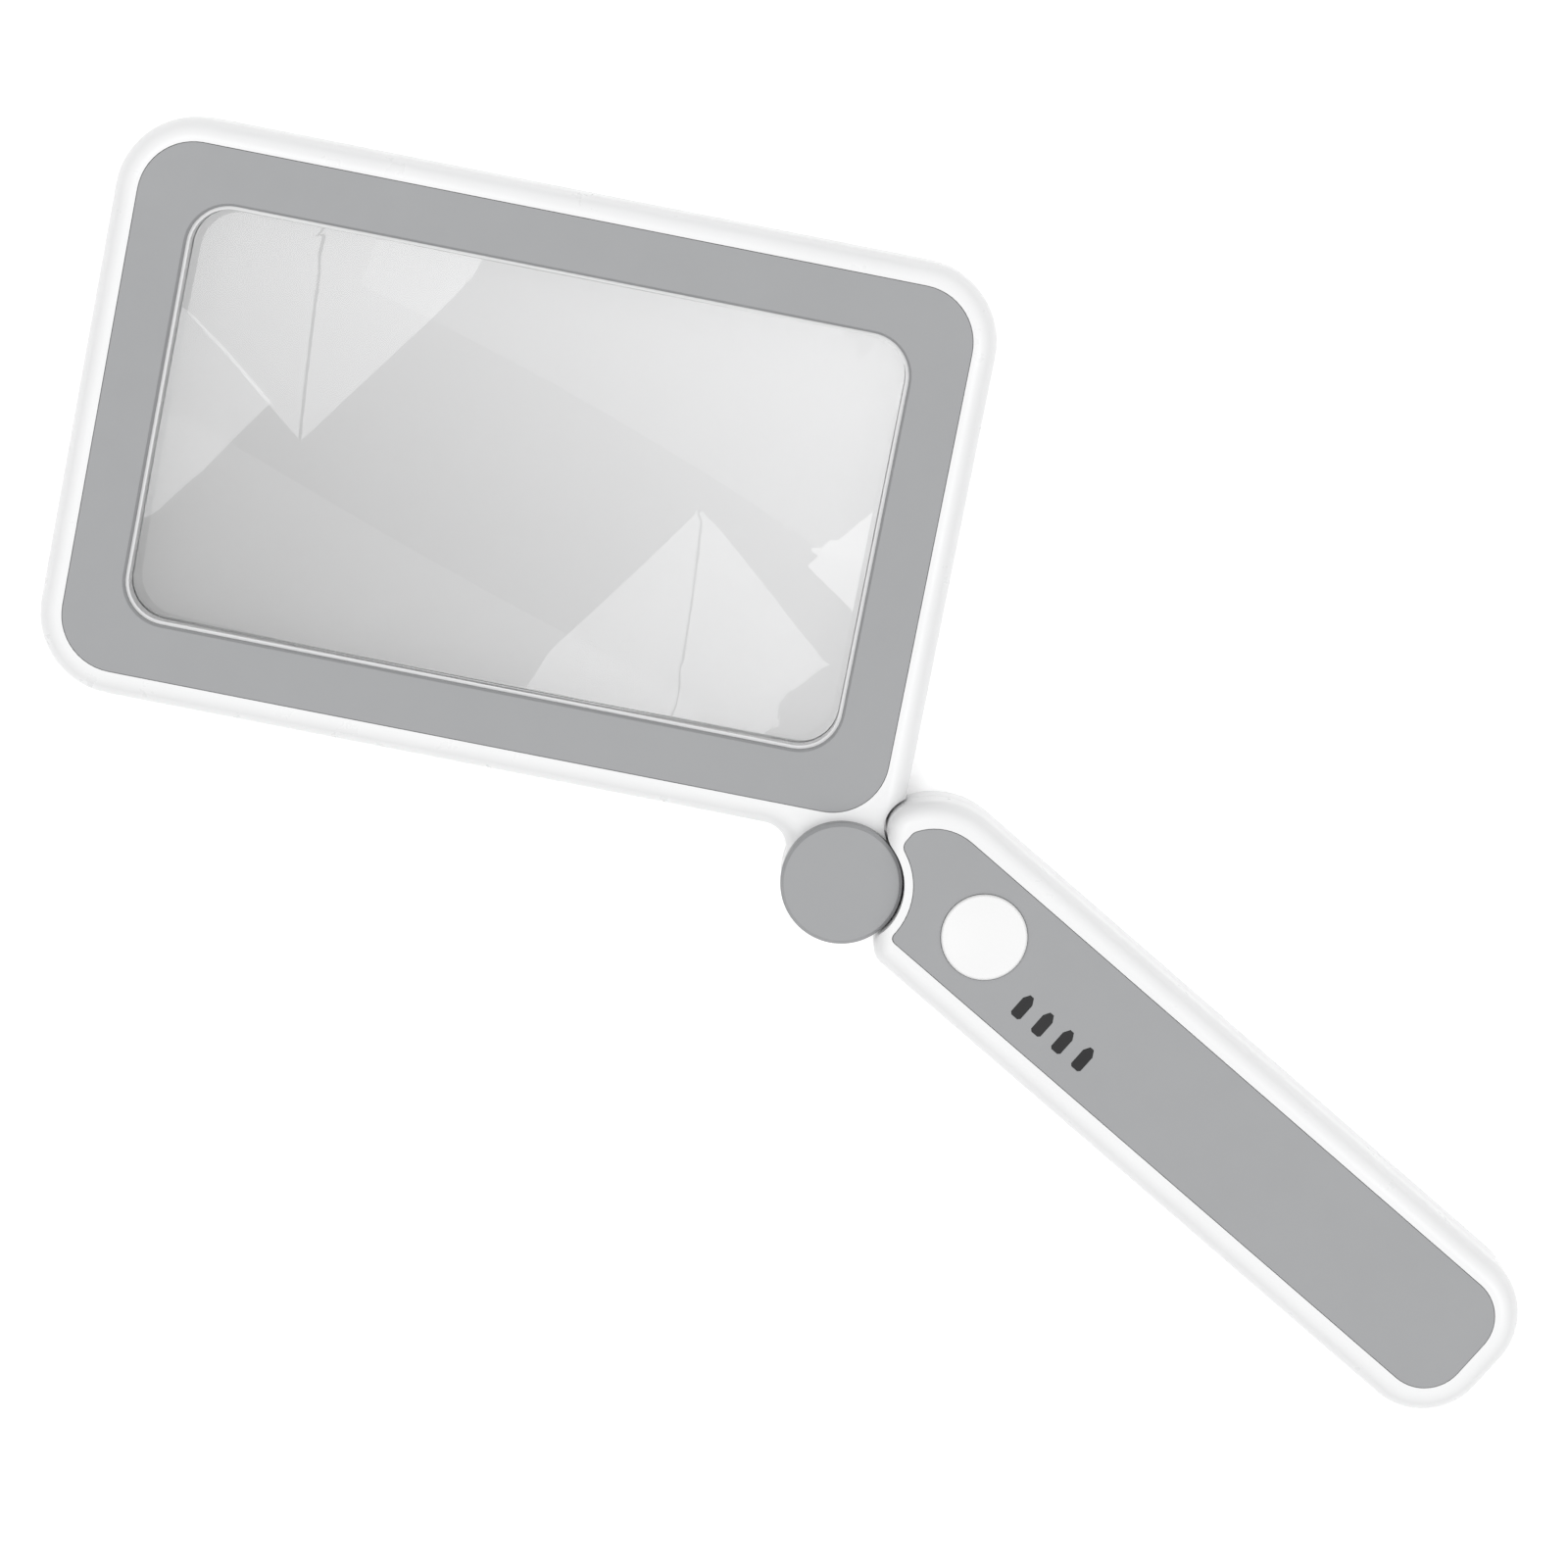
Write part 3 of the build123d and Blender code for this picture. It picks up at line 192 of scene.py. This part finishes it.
def circuit_board(name, colour):
    """Solder mask over copper tracks, with a woven glass core just showing."""
    g = Graph(name)
    tracks = g.node("ShaderNodeTexBrick", Vector=g.place, Scale=1.0 / TRACK_PITCH)
    tracks.inputs["Mortar Size"].default_value = 0.04
    tracks.inputs["Color1"].default_value = tint(colour, 1.0)
    tracks.inputs["Color2"].default_value = tint(colour, 0.85)
    tracks.inputs["Mortar"].default_value = tint(colour, 1.5)
    weave = g.noise(0.4 * MM, detail=2.0)
    return g.set(
        Base_Color=tracks.outputs["Color"],
        Roughness=g.spread(weave, 0.3, 0.7, 0.3, 0.45),
        Normal=g.bump(tracks.outputs["Fac"], 0.03 * MM, 0.5),
    )


def soft_foam(name, colour):
    """Closed-cell foam or rubber."""
    g = Graph(name)
    cells = g.node("ShaderNodeTexVoronoi", Vector=g.place, Scale=1.0 / FOAM_CELL).outputs["Distance"]
    return g.set(
        Base_Color=g.blend(cells, tint(colour, 0.7), tint(colour, 1.2)),
        Roughness=g.spread(cells, 0.0, 0.8, 0.75, 0.95),
        Normal=g.bump(cells, 0.05 * MM, 0.7),
    )


WHITE = (0.74, 0.742, 0.745, 1.0)
TRIM = (0.292, 0.296, 0.303, 1.0)
white_shell = moulded_plastic("white_abs", WHITE, 0.3, 0.22 * MM, 0.006 * MM, sheen_coat=0.15)
gray_trim = moulded_plastic("gray_abs", TRIM, 0.46, 0.2 * MM, 0.012 * MM)
button_white = moulded_plastic("button_abs", (0.75, 0.75, 0.75, 1.0), 0.34, 0.2 * MM, 0.005 * MM, 0.1)
nylon = moulded_plastic("natural_nylon", (0.7, 0.68, 0.6, 1.0), 0.45, 0.2 * MM, 0.01 * MM)
smoked = moulded_plastic(
    "smoked_window", (0.006, 0.006, 0.007, 1.0), 0.5, 0.3 * MM, 0.004 * MM, ior=1.42
)
epoxy = moulded_plastic("black_epoxy", (0.02, 0.02, 0.02, 1.0), 0.5, 0.15 * MM, 0.015 * MM)
ceramic = moulded_plastic("tan_ceramic", (0.36, 0.24, 0.13, 1.0), 0.4, 0.15 * MM, 0.01 * MM)
phosphor = moulded_plastic("led_phosphor", (0.85, 0.66, 0.12, 1.0), 0.35, 0.15 * MM, 0.01 * MM)
red_pvc = moulded_plastic("red_pvc", (0.5, 0.02, 0.015, 1.0), 0.35, 0.2 * MM, 0.008 * MM)
black_pvc = moulded_plastic("black_pvc", (0.015, 0.015, 0.015, 1.0), 0.35, 0.2 * MM, 0.008 * MM)
frost = frosted("frosted_pc", (0.9, 0.91, 0.91, 1.0), 0.5)
acrylic = clear_lens()
steel = metal("zinc_plate", (0.6, 0.6, 0.6, 1.0), 0.34)
brass = metal("turned_brass", (0.75, 0.52, 0.2, 1.0), 0.3)
foil = metal("pouch_foil", (0.62, 0.63, 0.65, 1.0), 0.42, 0.3 * MM)
green_board = circuit_board("green_mask", (0.02, 0.17, 0.06, 1.0))
white_board = circuit_board("white_mask", (0.62, 0.64, 0.62, 1.0))
foam = soft_foam("black_foam", (0.03, 0.03, 0.03, 1.0))
white_foam = soft_foam("white_foam", (0.8, 0.8, 0.8, 1.0))

SLOT_MATERIALS = {
    "shell_white": white_shell,
    "trim_gray": gray_trim,
    "button_white": button_white,
    "lens_clear": acrylic,
    "diffuser_frost": frost,
    "gasket_white": white_foam,
    "steel": steel,
    "bush_brass": brass,
    "washer_nylon": nylon,
    "board_white": white_board,
    "board_green": green_board,
    "led_yellow": phosphor,
    "chip_black": epoxy,
    "component_tan": ceramic,
    "connector_white": nylon,
    "cell_silver": foil,
    "pad_foam": foam,
    "lead_red": red_pvc,
    "lead_black": black_pvc,
    "window_smoke": smoked,
}
for part in frame["record"]["subparts"]:
    mesh = frame["nodes"][part["node"]].data
    mesh.materials.clear()
    mesh.materials.append(SLOT_MATERIALS[part["material_slot"]])


# ---------------------------------------------------------------- studio
FLOOR_REACH = 6.0                   # half the floor's width
FLOOR_DROP = 0.05 * MM              # below the magnifier's rear faces
FLOOR_GLOW = 0.2
CARD_DROP = 0.03 * MM
CARD_MARGIN = 8 * MM                # the card's edge, in from the bezel's outline
CARD_ACROSS = 0.58                  # how much of the card's painted shade gradient runs along X
CARD_ALONG = 0.42                   # and along Y
CARD_PAINTED_GLOW = (0.23, 0.6)             # painted glow at the card's dark and light ends
PAPER_TOOTH = 0.6 * MM
SKY_HORIZON = 0.12
SKY_ZENITH = 1.35
SKY_FULL = 0.9                      # height in the sky where it reaches its full strength
LIGHT_HEIGHT = 2.0
RIB_WIDTH = 0.006
RIB_GAP = 0.01                      # from the rod up to the softbox


def sheet_of(name, low, high, height):
    """Flat rectangular sheet that belongs to the studio, between two corners."""
    mesh = bpy.data.meshes.new(name)
    corners = [
        (low[0], low[1], 0),
        (high[0], low[1], 0),
        (high[0], high[1], 0),
        (low[0], high[1], 0),
    ]
    mesh.from_pydata(corners, [], [(0, 1, 2, 3)])
    sheet = bpy.data.objects.new(name, mesh)
    bpy.context.collection.objects.link(sheet)
    sheet.location.z = height
    return mesh


def floor():
    """Plain pale light table that the magnifier lies on."""
    g = Graph("floor_paper")
    tooth = g.noise(PAPER_TOOTH, detail=2.0)
    g.set(
        Base_Color=g.blend(tooth, grey(0.94), grey(0.96)),
        Roughness=g.spread(tooth, 0.3, 0.7, 0.85, 0.95),
        Emission_Color=grey(1.0),
        Emission_Strength=FLOOR_GLOW,
    )
    reach = FLOOR_REACH
    sheet_of("floor", (-reach, -reach), (reach, reach), -FLOOR_DROP).materials.append(g.material)


def painted_shade_card():
    """Gray sheet of painted shade and painted glow, which shows only through the lens: darker towards
    -X -Y, lighter and glowing more towards +X +Y.
    """
    low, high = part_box("front_bezel")
    low = (low[0] + CARD_MARGIN, low[1] + CARD_MARGIN)
    high = (high[0] - CARD_MARGIN, high[1] - CARD_MARGIN)
    g = Graph("painted_shade_card")
    place = g.node("ShaderNodeSeparateXYZ", Vector=g.place)
    across = g.spread(place.outputs["X"], low[0], high[0], 0.0, CARD_ACROSS)
    along = g.spread(place.outputs["Y"], low[1], high[1], 0.0, CARD_ALONG)
    # painted shade: the card's gray and its glow grade up from -X -Y to +X +Y
    painted_shade_grade = g.node("ShaderNodeMath")
    g.feed(painted_shade_grade.inputs[0], across)
    g.feed(painted_shade_grade.inputs[1], along)
    tooth = g.noise(PAPER_TOOTH, detail=2.0)
    g.set(
        Base_Color=g.blend(painted_shade_grade.outputs["Value"], grey(0.2), grey(0.35)),
        Roughness=g.spread(tooth, 0.3, 0.7, 0.85, 0.95),
        Normal=g.bump(tooth, 0.01 * MM, 0.5),
        Emission_Color=grey(1.0),
        Emission_Strength=g.spread(painted_shade_grade.outputs["Value"], 0.0, 1.0, *CARD_PAINTED_GLOW),
    )
    sheet_of("painted_shade_card", low, high, -CARD_DROP).materials.append(g.material)


def sky():
    """Soft overhead light that falls off towards the horizon."""
    world = bpy.data.worlds.new("studio")
    world.use_nodes = True
    tree = world.node_tree
    place = tree.nodes.new("ShaderNodeTexCoord")
    split = tree.nodes.new("ShaderNodeSeparateXYZ")
    tree.links.new(place.outputs["Generated"], split.inputs["Vector"])
    ramp = tree.nodes.new("ShaderNodeMapRange")
    ramp.interpolation_type = "SMOOTHSTEP"
    tree.links.new(split.outputs["Z"], ramp.inputs["Value"])
    ramp.inputs["From Min"].default_value = 0.0
    ramp.inputs["From Max"].default_value = SKY_FULL
    ramp.inputs["To Min"].default_value = SKY_HORIZON
    ramp.inputs["To Max"].default_value = SKY_ZENITH
    background = tree.nodes["Background"]
    background.inputs["Color"].default_value = grey(1.0)
    tree.links.new(ramp.outputs["Result"], background.inputs["Strength"])
    bpy.context.scene.world = world


def softbox(name, corner, angle, size, radiance):
    """Rectangular light that faces the floor: one corner's place and its first side's angle."""
    data = bpy.data.lights.new(name, "AREA")
    data.shape = "RECTANGLE"
    data.size, data.size_y = size
    data.energy = radiance * pi * size[0] * size[1]
    lamp = bpy.data.objects.new(name, data)
    bpy.context.collection.objects.link(lamp)
    turn = Matrix.Rotation(radians(angle), 4, "Z")
    middle = Vector((*corner, LIGHT_HEIGHT)) + turn @ Vector((size[0] / 2, size[1] / 2, 0))
    lamp.matrix_world = Matrix.Translation(middle) @ turn


def rib(start, end):
    """Slim rod across the front of a softbox."""
    start, end = Vector((*start, 0)), Vector((*end, 0))
    side = (end - start).cross(Vector((0, 0, 1))).normalized() * RIB_WIDTH / 2
    mesh = bpy.data.meshes.new("rib")
    mesh.from_pydata([start - side, start + side, end + side, end - side], [], [(0, 1, 2, 3)])
    g = Graph("rib_steel")
    mesh.materials.append(g.set(Base_Color=grey(0.3), Roughness=0.5))
    rod = bpy.data.objects.new("rib", mesh)
    bpy.context.collection.objects.link(rod)
    rod.location.z = LIGHT_HEIGHT - RIB_GAP


floor()
# painted shade and painted glow, seen through the lens
painted_shade_card()
sky()
# each softbox shows twice in the lens: upright in the front face and upside down in the rear face
softbox("upper_left", (-0.557, -0.135), 53.5, (0.8, 0.51), 2.85)
rib((-0.557, -0.135), (-0.6, 0.45))
softbox("right", (0.443, -0.183), -37.0, (0.6, 0.6), 3.3)
softbox("lower_left", (0.3, -0.49), 162.05, (1.8, 0.5), 0.7)


# ---------------------------------------------------------------- camera
CAMERA_AIM = Vector((-11.33, 12.83, 12.0)) * MM
CAMERA_DISTANCE = 0.8
CAMERA_SIDE = radians(99.4)         # which way the camera leans off the vertical
CAMERA_TILT = radians(7.68)
CAMERA_ROLL = radians(11.16)
FRAME_WIDTH = 0.2364                # width of the view at the magnifier's face
SENSOR = 36.0

lean = Vector((
    sin(CAMERA_TILT) * cos(CAMERA_SIDE),
    sin(CAMERA_TILT) * sin(CAMERA_SIDE),
    cos(CAMERA_TILT),
))
up = Vector((-sin(CAMERA_ROLL), cos(CAMERA_ROLL), 0.0))
right = up.cross(lean).normalized()
top = lean.cross(right)
camera_data = bpy.data.cameras.new("camera")
camera_data.sensor_width = SENSOR
camera_data.lens = SENSOR * CAMERA_DISTANCE / FRAME_WIDTH
camera = bpy.data.objects.new("camera", camera_data)
bpy.context.collection.objects.link(camera)
turned = Matrix((right, top, lean)).transposed().to_4x4()
camera.matrix_world = Matrix.Translation(CAMERA_AIM + lean * CAMERA_DISTANCE) @ turned
bpy.context.scene.camera = camera
bpy.context.scene.view_settings.view_transform = "Standard"
